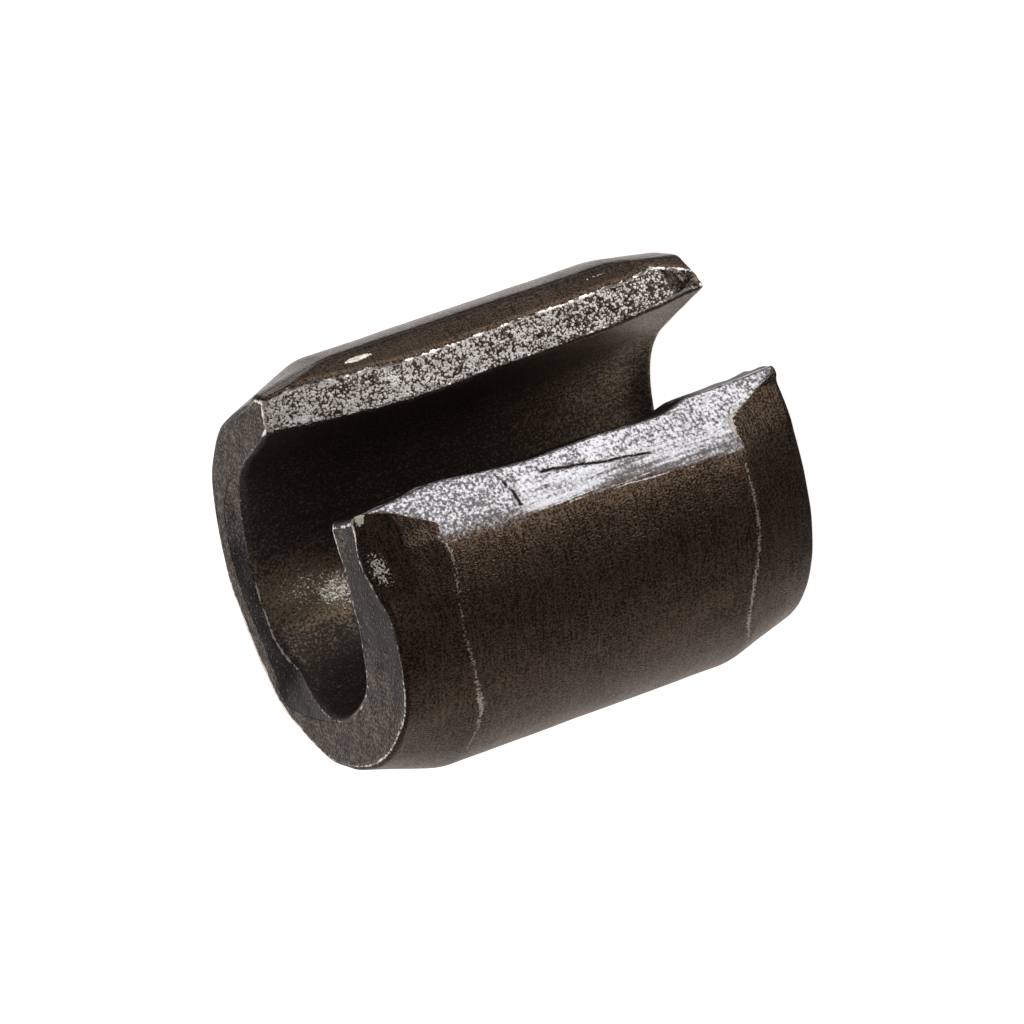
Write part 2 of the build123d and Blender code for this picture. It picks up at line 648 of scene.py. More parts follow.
@dataclass(frozen=True)
class SteelFinish:
    """Blacked spring steel: a brown oxide skin, bright where it was pressed, torn where it was sheared.

    Attributes:
        oxide_dark, oxide_light: The skin.
        worn_and_glint: Bare steel on edges, and painted highlights on the edges that catch the light.
        pale: Thin skin on the leads' edges.
        glint_colour: Painted highlight of the glint spots.
        pressed_dark, pressed_light: The left flat, its pits and its bare steel.
        torn_dark, torn_brown, torn_grain_glint: The sheared face's hollows, dull grains and bright grains;
            the near-white of the bright grains partly paints glints.
        end_dark, end_light: The matt end faces.
        bore_dark, bore_light: The bore.
        specular_level: Strength of the clear reflection on what isn't bare metal.
    """

    oxide_dark: Triple = (0.018, 0.0125, 0.0095)
    oxide_light: Triple = (0.094, 0.064, 0.045)
    worn_and_glint: Triple = (0.62, 0.57, 0.53)
    pale: Triple = (0.36, 0.31, 0.28)
    glint_colour: Triple = (0.95, 0.88, 0.75)
    pressed_light: Triple = (0.51, 0.495, 0.51)
    pressed_dark: Triple = (0.10, 0.09, 0.09)
    torn_grain_glint: Triple = (1.0, 0.96, 0.91)
    torn_brown: Triple = (0.24, 0.165, 0.120)
    torn_dark: Triple = (0.030, 0.021, 0.017)
    end_light: Triple = (0.245, 0.180, 0.140)
    end_dark: Triple = (0.016, 0.012, 0.010)
    bore_dark: Triple = (0.046, 0.038, 0.033)
    bore_light: Triple = (0.24, 0.172, 0.112)
    specular_level: float = 0.25

    def cover(self, graph: Graph, under: Layer, over: Layer, share: Number) -> Layer:
        """One layer over another.

        Args:
            graph: The material's nodes.
            under: The lower layer.
            over: The upper layer.
            share: 1 where the upper layer hides the lower one, and 0 where it isn't there.

        Returns:
            What the two give together.
        """
        return Layer(
            graph.mix(share, under.colour, over.colour),
            graph.blend(share, under.roughness, over.roughness),
            graph.blend(share, under.metallic, over.metallic),
            graph.blend(share, under.height, over.height),
        )

    def oxide(self, graph: Graph) -> Layer:
        """The skin: drawn streaks round the circumference, cloudy patches and fine specks.

        Args:
            graph: The material's nodes.

        Returns:
            The layer.
        """
        streak = graph.noise(0.4, (0.5, 0.5, 6.5), 1.0)
        fine = graph.noise(0.06, detail=1.0)
        flat = graph.ramp(graph.field("facet"), 0.0, 0.15)
        tone = graph.total((streak, 0.42), (graph.noise(1.8), 0.2), (fine, 1.1), (flat, 0.07))
        colour = graph.mix(graph.ramp(tone, 0.66, 1.06), self.oxide_dark, self.oxide_light)
        height = graph.total((streak, 0.45), (fine, 2.2))
        return Layer(colour, graph.ramp(tone, 0.66, 1.0, 0.42, 0.32), 1.0, height)

    def pressed(self, graph: Graph) -> Layer:
        """The left flat: bare steel with fine pits, and lines along the axis on its lower part.

        Args:
            graph: The material's nodes.

        Returns:
            The layer.
        """
        middle, _ = graph.cells(0.12)
        pits = graph.noise(0.08, detail=2.0)
        lines = graph.noise(0.9, (9.0, 9.0, 0.5), 2.0)
        near = graph.ramp(graph.along("Z"), 9.0, 10.2)
        foot = graph.times(graph.ramp(graph.along("Z"), 8.0, 4.5), graph.ramp(graph.field("band"), 0.3, 0.0))
        lower = graph.ramp(graph.field("band"), 0.42, 0.2, 0.0, 0.5)
        drawn = graph.times(lower, graph.ramp(graph.along("Z"), 9.4, 9.0))
        pitted = graph.total((pits, 1.0), (middle, -0.4), (lines, 0.35))
        grain = graph.blend(drawn, pitted, graph.total((lines, 1.1)))
        tone = graph.total((grain, 1.0), (graph.noise(0.9), 0.25), (near, -0.07), (foot, -0.25))
        colour = graph.mix(graph.ramp(tone, 0.40, 0.74), self.pressed_dark, self.pressed_light)
        height = graph.total((pits, 1.6), (middle, -1.0), (lines, 0.8))
        return Layer(colour, graph.ramp(pits, 0.3, 0.7, 0.42, 0.30), 1.0, height)

    def torn(self, graph: Graph) -> Layer:
        """The sheared face: bright grains of random brightness standing out of dark hollows; the near-white
        grains partly paint glints.

        Args:
            graph: The material's nodes.

        Returns:
            The layer.
        """
        middle, chance = graph.cells(0.08)
        fine = graph.noise(0.06, detail=2.0)
        patch = graph.noise(0.55, detail=3.0)
        foot = graph.ramp(graph.along("Z"), 6.0, 1.5)
        head = graph.ramp(graph.along("Z"), 9.0, 12.5)
        parts = ((middle, -0.8), (chance, 0.7), (fine, 1.1), (patch, 1.0), (foot, -0.13), (head, 0.02))
        grain = graph.total(*parts)
        dull = graph.mix(graph.ramp(grain, 0.6, 1.0), self.torn_dark, self.torn_brown)
        # Near-white grains: grain of fresh steel, and partly painted glints.
        colour = graph.mix(graph.ramp(grain, 0.97, 1.04), dull, self.torn_grain_glint)
        height = graph.total((middle, -2.0), (chance, 3.0), (fine, 5.0))
        return Layer(colour, graph.ramp(fine, 0.3, 0.7, 0.42, 0.24), 0.1, height)

    def beak(self, graph: Graph) -> Layer:
        """The smooth dark end of the sheared face, at the foot of the right lip.

        Args:
            graph: The material's nodes.

        Returns:
            The layer.
        """
        fine = graph.noise(0.1, detail=3.0)
        tone = graph.total((fine, 0.7), (graph.noise(0.5), 0.4))
        dusky = graph.mix(graph.ramp(tone, 0.42, 0.7), self.end_dark, self.end_light)
        colour = graph.mix(graph.ramp(graph.noise(0.07), 0.64, 0.7), dusky, self.worn_and_glint)
        return Layer(colour, 0.42, 1.0, graph.total((fine, 1.4)))

    def matt(self, graph: Graph) -> Layer:
        """The end faces: matt, fine-grained and uneven.

        Args:
            graph: The material's nodes.

        Returns:
            The layer.
        """
        fine = graph.noise(0.085, detail=1.0)
        patch = graph.noise(0.5, detail=3.0)
        lip = graph.times(graph.ramp(graph.along("X"), -1.5, -3.0), graph.ramp(graph.along("Y"), 0.5, -2.0))
        tone = graph.total((fine, 1.2), (patch, 0.6), (lip, -0.2))
        shade = graph.mix(graph.ramp(tone, 0.78, 1.16), self.end_dark, self.end_light)
        colour = graph.mix(graph.ramp(fine, 0.68, 0.86), shade, self.pale)
        return Layer(colour, 0.52, 0.8, graph.total((fine, 3.0), (patch, 2.5)))

    def bevel(self, graph: Graph) -> Layer:
        """The bevel at the mouth of the bore: smooth, with painted shade that darkens it towards the back of
        the pin.

        Args:
            graph: The material's nodes.

        Returns:
            The layer.
        """
        fine = graph.noise(0.085, detail=1.0)
        # Painted shade: darker towards +Y, where the bevel lies in the shade of the bore.
        back = graph.ramp(graph.along("Y"), 1.4, 2.8)
        tone = graph.total((fine, 1.0), (graph.noise(0.5), 0.4), (back, -0.3))
        shade = graph.mix(graph.ramp(tone, 0.54, 0.92), self.end_dark, self.end_light)
        colour = graph.mix(graph.ramp(fine, 0.62, 0.8), shade, self.pale)
        return Layer(colour, 0.45, 0.5, graph.total((fine, 2.0)))

    def inside(self, graph: Graph) -> Layer:
        """The bore: dark skin, drawn along the axis, with small bright pits and a painted highlight that
        lightens it at the glint spots.

        Args:
            graph: The material's nodes.

        Returns:
            The layer.
        """
        lines = graph.noise(0.6, (3.0, 3.0, 0.5), 3.0)
        fine = graph.noise(0.08, detail=1.0)
        far = graph.ramp(graph.along("Z"), 6.5, 2.0)
        # The scuff field paints a highlight into the bore: its colour is lighter there.
        tone = graph.total((lines, 0.3), (fine, 1.0), (graph.field("painted_glint"), 0.6), (far, 0.12))
        colour = graph.mix(graph.ramp(tone, 0.62, 1.02), self.bore_dark, self.bore_light)
        height = graph.total((lines, 0.5), (fine, 1.5))
        return Layer(colour, graph.ramp(fine, 0.2, 0.8, 0.48, 0.34), 0.7, height)

    def flat_share(self, graph: Graph, jitter: Socket) -> Socket:
        """Where the left flat shows: sharp and streaky below, soft near the top, and never on a lead.

        Args:
            graph: The material's nodes.
            jitter: Noise that makes its border ragged.

        Returns:
            1 on the flat and 0 off it.
        """
        lines = graph.noise(0.9, (9.0, 9.0, 0.5), 2.0)
        sharp = graph.ragged("band", 0.14, 0.24, (jitter, 0.12), (lines, 0.24))
        soft = graph.ragged("band", 0.06, 0.42, (jitter, 0.4))
        top = graph.ramp(graph.total((graph.along("Z"), 1.0), (jitter, 0.5)), 9.4, 9.9)
        off_lead = graph.ramp(graph.field("lead"), -0.012, 0.004)
        return graph.times(graph.times(graph.blend(top, sharp, soft), off_lead), graph.field("skin"))

    def covers(self, graph: Graph) -> Iterator[tuple[Layer, Socket]]:
        """What lies over the oxide, from the lowest up.

        Args:
            graph: The material's nodes.

        Yields:
            Each layer, and its share at each place.
        """
        jitter = graph.noise(0.12, detail=2.0)
        smooth = graph.total((jitter, 0.3))
        dark = Layer(self.oxide_dark, 0.5, 1.0, smooth)
        pale = Layer(self.pale, 0.36, 1.0, smooth)
        skin, ends, torn = graph.field("skin"), graph.field("ends"), graph.field("cut_right")
        yield self.pressed(graph), self.flat_share(graph, jitter)
        yield self.matt(graph), ends
        yield self.bevel(graph), graph.times(ends, graph.ramp(graph.field("mouth"), 0.0, 0.05))
        yield self.inside(graph), graph.field("bore")
        # Painted shade: the left cut face is covered with flat dark oxide colour for the shade it lies in.
        yield dark, graph.field("cut_left")
        yield self.torn(graph), torn
        foot = graph.ramp(graph.total((graph.along("Z"), 1.0), (jitter, 0.4)), 1.06, 1.0)
        yield self.beak(graph), graph.times(foot, torn)
        # Pale lines on the leads' edges and on sharp edges: partly bare steel, partly painted highlights.
        yield pale, graph.times(graph.ragged("crease", 0.15, 0.18, (graph.noise(0.075), 0.3)), skin)
        bare = graph.ragged("bare", 0.165, 0.205, (jitter, 0.22), (graph.noise(0.7), 0.10))
        yield Layer(self.worn_and_glint, 0.30, 1.0, smooth), bare
        yield pale, graph.ragged("ridge", 1.2, 1.55, (jitter, 1.2))
        # Painted highlights: bright specks, dense on the scuff spots and rare elsewhere.
        specks = graph.total((graph.field("painted_glint"), 0.75), (graph.noise(0.065), 1.3), (jitter, 0.5))
        yield Layer(self.glint_colour, 0.3, 0.6, graph.total((jitter, 5.0))), graph.ramp(specks, 1.4, 1.55)
        yield dark, graph.ragged("groove", 0.75, 1.15, (jitter, 0.8))
        fold = graph.total((graph.unsigned(graph.field("facet")), -1.0), (jitter, 0.1))
        yield dark, graph.times(graph.ramp(fold, 0.015, 0.045), skin)

    def material(self) -> bpy.types.Material:
        """The whole finish: the oxide, and everything that covers it.

        Returns:
            The material.
        """
        graph = Graph("blacked_spring_steel")
        surface = self.oxide(graph)
        for layer, share in self.covers(graph):
            surface = self.cover(graph, surface, layer, share)
        bump = graph.node("Bump", {"Distance": 0.01 * MM, "Height": surface.height})
        finish = {
            "Base Color": surface.colour,
            "Roughness": surface.roughness,
            "Metallic": surface.metallic,
            "Specular IOR Level": self.specular_level,
            "Normal": bump.outputs["Normal"],
        }
        for name, value in finish.items():
            graph.feed(graph.shader.inputs[name], value)
        return graph.material


# ---- the strip as a mesh ---------------------------------------------------------------------


@dataclass
class RolledStrip:
    """The whole pin: the strip's box lattice, bent into a C, and its finish.

    The lattice runs along the strip from the right lip round the back to the left lip, up the axis from
    the far end to the near end, and through the wall from the bore to the outside. Only its shell is used.

    Attributes:
        bar, bore_radius, bore_break, mouth, right, left: The strip's shape. The bore's ends are rounded off.
        wear, grooves, ridge, scuffs: Its marks; the scuffs and part of the wear are painted highlights. The
            ridge is a raised line on the left flat.
        lead_slope: Radius that a lead gains for each mm of height.
        rows_along, rows_corner, rows_wall, rows_round: Rows along the strip, round the corners of a lip,
            through the wall, and round a rim.
        row_height_lead, row_height_body, lead_rows_end: Heights of the rows, and where they change.
        halvings: How often the interval that holds a corner is halved.
        unevenness: Height and pattern of the unevenness of each zone.
    """

    bar: Bar = field(default_factory=Bar)
    bore_radius: float = 3.75
    bore_break: float = 0.14
    mouth: Mouth = field(default_factory=Mouth)
    right: Lip = Lip(
        Side.RIGHT,
        bend_angle=along((0, 58.0), (1, 57.5), (3, 56.0)),
        gap=along(
            (0, 0.98), (0.5, 1.14), (1.2, 1.36), (3, 1.48), (5, 1.5), (9.5, 1.52), (11, 1.66), (12.5, 1.94),
            (14, 2.28),
        ),
        cut_angle=along((0, 86.0), (1, 62.0), (2.2, 44.0), (4, 38.0), (10, 36.0), (12, 28.0), (14, 15.0)),
        flat_depth=along((0, 5.6)),
        flat_lean=along((0, 2.0)),
    )
    left: Lip = Lip(
        Side.LEFT,
        bend_angle=along((0, 50.0)),
        gap=along(
            (0, 1.52), (1, 1.56), (2.8, 1.55), (3.4, 1.63), (4, 1.69), (5.3, 1.66), (6, 1.62), (8.3, 1.62),
            (9.9, 1.52), (10.5, 1.46), (11.5, 1.4), (12.1, 1.43), (12.8, 1.47), (14, 1.53),
        ),
        cut_angle=along((0, 45.0)),
        flat_depth=along(
            (0, 6.27), (0.35, 5.99), (1, 5.83), (2, 5.79), (4.2, 5.825), (7, 5.79), (9, 5.81), (11.8, 5.73),
            (14, 5.71),
        ),
        flat_lean=along(
            (0, 21.5), (4.2, 21.3), (5.5, 19.8), (7, 18.8), (9.6, 18.0), (11.8, 15.3), (14, 14.5),
        ),
        flat_blend=0.3,
    )
    wear_and_glint: WearAndGlint = field(default_factory=WearAndGlint)
    grooves: tuple[Groove, ...] = (
        Groove(
            (
                (-3.33, 8.2), (-3.35, 7.83), (-3.44, 7.45), (-3.5, 6.98), (-3.66, 6.4), (-3.76, 5.6),
                (-3.88, 4.82),
            ),
            0.06,
            0.045,
        ),
        Groove(((-3.0, 9.5), (-3.3, 9.42), (-3.6, 9.3), (-4.05, 9.3)), 0.05, 0.05),
    )
    ridge: Groove = Groove(
        ((-4.1, 9.3), (-4.36, 8.6), (-4.42, 7.6), (-4.47, 6.4), (-4.55, 5.0), (-4.63, 3.7)), 0.012, 0.035
    )
    # Each scuff is a painted highlight: two in the bore near the near end, two on the right lip, two by the
    # left lip at the near end.
    painted_glints: tuple[PaintedGlint, ...] = (
        PaintedGlint((2.25, 3.0, 11.6), (0.75, 0.75, 1.0), 1.0),
        PaintedGlint((2.6, 2.9, 12.5), (1.1, 1.0, 1.6), 0.66),
        PaintedGlint((-3.6, -3.75, 13.7), (0.8, 0.6, 0.36), 0.85),
        PaintedGlint((2.91, -5.5, 10.8), (0.105, 0.4, 0.42), 2.1),
        PaintedGlint((2.79, -5.5, 2.7), (0.05, 0.3, 0.7), 0.8),
        PaintedGlint((-2.6, -5.0, 13.85), (0.2, 0.3, 0.14), 1.6),
    )
    lead_slope: float = 0.27
    rows_along: int = 212
    rows_corner: int = 5
    rows_wall: int = 32
    rows_round: int = 5
    row_height_lead: float = 0.085
    row_height_body: float = 0.11
    lead_rows_end: float = 3.1
    halvings: int = 40
    unevenness: dict[str, tuple[float, Ripple]] = field(
        default_factory=lambda: {
            "skin": (0.006, Ripple(11, 1.6)),
            "cut_right": (0.028, Ripple(12, 0.5, waves=40)),
            "cut_left": (0.02, Ripple(13, 0.9)),
            "ends": (0.012, Ripple(14, 0.9)),
            "bore": (0.008, Ripple(15, 1.4)),
        }
    )

    def heights(self) -> Array:
        """Heights of the rows: the arc of each rounded rim, then even steps, closer on the leads.

        Returns:
            The heights in millimetres, from the far end up.
        """
        arc = self.bar.rim_round * (1 - np.cos(np.linspace(0, np.pi / 2, self.rows_round)))
        lead = np.arange(self.bar.rim_round + self.row_height_lead, self.lead_rows_end, self.row_height_lead)
        half = np.concatenate([arc, lead])
        count = int((self.bar.length - 2 * half[-1]) / self.row_height_body)
        middle = np.linspace(half[-1], self.bar.length - half[-1], count)[1:-1]
        return np.concatenate([half, middle, self.bar.length - half[::-1]])

    def pressed_radius(self, turn: Array, height: Array) -> Array:
        """Radius of the body with both pressed flats, rounded into each other.

        Args:
            turn: Turns in radians.
            height: Heights above the far end.

        Returns:
            The radius at each turn and height.
        """
        radius = self.bar.body(turn, height)
        for lip in (self.right, self.left):
            radius = smooth_min(radius, lip.flat(turn, height), lip.flat_blend)
        return radius

    def outer_radius(self, turn: Array, height: Array) -> Array:
        """Radius of the outside: the pressed body cut by the leads, with both rims rounded.

        Args:
            turn: Turns in radians.
            height: Heights above the far end.

        Returns:
            The radius at each turn and height.
        """
        body, leads = self.pressed_radius(turn, height), self.bar.leads(turn, height)
        rims = retreat(self.bar.length - height, self.bar.rim_round) + retreat(height, self.bar.rim_round)
        return smooth_min(body, leads, self.bar.lead_blend) - rims

    def inner_radius(self, turn: Array, height: Array) -> Array:
        """Radius of the inside: the bore, past each bend's end its tangent, and the pushes at its ends.

        The tangent's radius is the bore's divided by cos(bend - turn).

        Args:
            turn: Turns in radians.
            height: Heights above the far end.

        Returns:
            The radius at each turn and height.
        """
        radius = np.full(np.broadcast(turn, height).shape, self.bore_radius)
        for lip in (self.right, self.left):
            own = lip.own_turn(turn)
            past = np.where(own > 0, np.maximum(np.radians(lip.bend_angle(height)) - own, 0.0), 0.0)
            radius = radius / np.cos(past)
        breaks = retreat(self.bar.length - height, self.bore_break) + retreat(height, self.bore_break)
        return radius + self.mouth.push(turn, height, self.bar.length) + breaks

    def corners(self, lip: Lip, height: Array) -> tuple[Array, Array]:
        """Section points of a lip's sharp inner and outer corner at each height.

        The inner corner is where the tangent at the bend's end reaches the gap:
        tan(turn) = gap cos(bend) / (radius - gap sin(bend)). The outer one is found by halving along
        the cut face until its radius is the outside's.

        Args:
            lip: The lip.
            height: Heights above the far end.

        Returns:
            The two rows of points, in the pin's frame.
        """
        bend = np.radians(lip.bend_angle(height))
        gap = lip.gap_at(height, self.bar.length)
        own = np.arctan2(gap * np.cos(bend), self.bore_radius - gap * np.sin(bend))
        sharp = polar(self.bore_radius / np.cos(bend - own), own)
        cut = np.radians(lip.cut_angle(height))
        way = np.stack([np.sin(cut), -np.cos(cut)], axis=-1)
        inner = self.halve(sharp, way, lip, height, self.inner_radius)
        outer = self.halve(sharp, way, lip, height, self.outer_radius)
        mirror = np.array([lip.side.value, 1.0])
        return inner * mirror, outer * mirror

    def halve(self, start: Array, way: Array, lip: Lip, height: Array,
              radius: Callable[[Array, Array], Array]) -> Array:
        """Where lines along the cut face cross a wall, found by halving an interval on each line.

        Args:
            start: A point on each line, in the lip's own frame.
            way: Each line's direction.
            lip: The lip.
            height: Heights above the far end.
            radius: The wall's radius at a turn and a height.

        Returns:
            The crossing on each line.
        """
        low = np.full_like(height, -self.bar.radius / 2)
        high = np.full_like(height, self.bar.radius)
        for _ in range(self.halvings):
            middle = (low + high) / 2
            place = start + way * middle[:, None]
            within = np.hypot(place[:, 0], place[:, 1]) < radius(lip.side.value * turn_of(place), height)
            low, high = np.where(within, middle, low), np.where(within, high, middle)
        return start + way * low[:, None]

    def wall(self, radius: Callable[[Array, Array], Array], ends: list[Array],
             toward: list[Array], height: Array) -> Array:
        """One long wall of the strip, from the right lip's corner to the left lip's.

        Its middle follows the radius at turns spread between the two lips. At each end a
        quadratic curve, with the sharp corner as its control point, rounds it into the cut face.

        Args:
            radius: Radius at a turn and a height.
            ends: Sharp corners of the right and the left lip, a row of section points each.
            toward: Points on the cut faces at which the rounding starts, for both lips.
            height: Heights of the rows.

        Returns:
            Section points, along the strip by height.
        """
        lips = (self.right, self.left)
        starts = []
        for lip, corner in zip(lips, ends):
            inset = lip.edge_round / np.hypot(corner[:, 0], corner[:, 1])
            starts.append(turn_of(corner) + lip.side.value * inset)
        share = spread(self.rows_along, 5.0, 0.035)[:, None]
        turn = starts[0] + (starts[1] - starts[0]) * share
        middle = polar(radius(turn, height[None, :]), turn)
        t = np.linspace(0.0, 1.0, self.rows_corner + 1)[:-1, None, None]
        rounded = [
            (1 - t) ** 2 * start + 2 * t * (1 - t) * corner + t**2 * edge
            for start, corner, edge in zip(toward, ends, (middle[0], middle[-1]))
        ]
        return np.concatenate([rounded[0], middle, rounded[1][::-1]])

    def lattice(self) -> Array:
        """Places of the whole lattice's shell, along the strip by height by wall, with zeros inside.

        Returns:
            An array of x, y and z in millimetres.
        """
        height = self.heights()
        lips = (self.right, self.left)
        corners = [self.corners(lip, height) for lip in lips]
        walls = []
        for own, other, radius in ((0, 1, self.inner_radius), (1, 0, self.outer_radius)):
            ends = [pair[own] for pair in corners]
            starts = []
            for lip, pair in zip(lips, corners):
                way = pair[other] - pair[own]
                starts.append(pair[own] + way / np.linalg.norm(way, axis=1, keepdims=True) * lip.edge_round)
            walls.append(self.wall(radius, ends, starts, height))
        inside, outside = walls
        through = spread(self.rows_wall, 2.0, 0.08)[:, None]
        places = np.zeros((len(inside), len(height), self.rows_wall, 3))
        places[..., 2] = height[None, :, None]
        places[..., :2] = inside[:, :, None] + (outside - inside)[:, :, None] * through
        above = self.bar.length - places[..., 2]
        places[..., 2] -= self.mouth.depth(places) * (1.0 - step(above, 0.0, self.mouth.reach))
        return places

    def fields(self, places: Array) -> dict[str, Array]:
        """Sizes that the finish reads at every lattice point, in millimetres.

        bare: how far inside the pale line of the nearest sharp edge a point lies; the line is partly bare
        steel and partly a painted highlight. Its distance to that edge is the second smallest of the
        distances to the lips, to the ends and to the walls.
        crease: how far inside the pale line of a lead's edge it lies.
        band, facet: how deep the left and the right flat lie below the body.
        lead: radius left on a lead's cone, below 0 on a lead. mouth: distance inside the bevel's edge.
        groove: 1 in a groove. ridge: 1 on the ridge of the left flat. scuff: 1 in a spot of painted
        highlight.

        Args:
            places: The lattice.

        Returns:
            One array for each name.
        """
        def nearest_end(axis: int) -> Array:
            """Running length along an axis of the lattice, from whichever end is nearer.

            Args:
                axis: The axis, 0 to 2.

            Returns:
                The length at every lattice point.
            """
            steps = np.linalg.norm(np.diff(places, axis=axis), axis=-1)
            run = np.cumsum(np.insert(steps, 0, 0.0, axis=axis), axis=axis)
            return np.minimum(run, np.take(run, [-1], axis=axis) - run)

        turn, height = turn_of(places), places[..., 2]
        degrees = np.degrees(turn)
        reaches = np.stack([nearest_end(axis) for axis in range(3)])
        edge = np.sort(reaches, axis=0)[1]
        radius = np.hypot(places[..., 0], places[..., 1])
        body = self.bar.body(turn, height)
        lead = self.bar.leads(turn, height) - self.pressed_radius(turn, height)
        near = height > self.bar.length / 2
        outside = radius > (self.bore_radius + self.bar.radius) / 2
        near_edge = np.where(outside, self.wear_and_glint.near_rim(degrees), self.wear_and_glint.near_mouth(degrees))
        rim = np.where(near, near_edge, self.wear_and_glint.far_rim(degrees))
        lips = np.where(outside, self.wear_and_glint.lip, self.wear_and_glint.lip_inside)
        line = np.where(reaches[1] < self.wear_and_glint.end_reach, rim, lips)
        crease = np.where(near, self.wear_and_glint.near_crease(degrees), self.wear_and_glint.far_crease(degrees))
        facet = body - self.right.flat(turn, height)
        return {
            "bare": line - edge,
            "crease": crease - np.abs(lead) / self.lead_slope,
            "band": body - self.left.flat(turn, height),
            "facet": np.where(turn < np.pi, facet, -FAR_OUT),
            "lead": lead,
            "mouth": self.mouth.edge(degrees) - radius,
            "groove": np.max([groove.nearness(places) for groove in self.grooves], axis=0),
            "ridge": self.ridge.nearness(places),
            "painted_glint": np.max([painted_glint.nearness(places) for painted_glint in self.painted_glints], axis=0),
        }

    def build(self) -> bpy.types.Object:
        """The finished mesh of the pin, in metres, with the finish's fields stored on it.

        Returns:
            The pin's object.
        """
        places = self.lattice()
        mesh, shell = shell_mesh("rolled_strip", places)
        for name, values in self.fields(places).items():
            layer = mesh.attributes.new(name, "FLOAT", "POINT")
            layer.data.foreach_set("value", values[shell].astype(np.float32))
        self.roughen(mesh, places[shell])
        mesh.materials.append(SteelFinish().material())
        pin = bpy.data.objects.new("rolled_strip", mesh)
        bpy.context.scene.collection.objects.link(pin)
        return pin

    def roughen(self, mesh: bpy.types.Mesh, points: Array) -> None:
        """Moves each vertex along its normal by its zone's unevenness: a height in mm times a ripple.

        Args:
            mesh: The mesh, whose zones are stored on its faces.
            points: Its vertices in millimetres.
        """
        zone = np.empty(len(mesh.polygons), np.float32)
        corners = np.empty(len(mesh.loops), np.int32)
        mesh.loops.foreach_get("vertex_index", corners)
        height = np.zeros(len(points))
        for name, (size, ripple) in self.unevenness.items():
            mesh.attributes[name].data.foreach_get("value", zone)
            share = np.zeros(len(points))
            np.add.at(share, corners, np.repeat(zone, 4) / 4.0)
            height += np.minimum(share, 1.0) * size * ripple(points)
        for groove in self.grooves:
            height -= groove.depth * groove.nearness(points)
        height += self.ridge.depth * self.ridge.nearness(points)
        normals = np.empty(3 * len(points), np.float32)
        mesh.vertices.foreach_get("normal", normals)
        moved = points + height[:, None] * normals.reshape(-1, 3)
        mesh.vertices.foreach_set("co", (moved * MM).astype(np.float32).ravel())
        mesh.update()


# ---- stage -----------------------------------------------------------------------------------


@dataclass(frozen=True)
class Lamp:
    """A square soft light that faces the pin.

    Attributes:
        name: Its name.
        way: Where it stands from the pin: right, down and forward shares.
        size: Length of its side, in metres.
        power: Power in watts.
        colour: Its colour.
    """

    name: str
    way: Triple
    size: float
    power: float
    colour: Triple


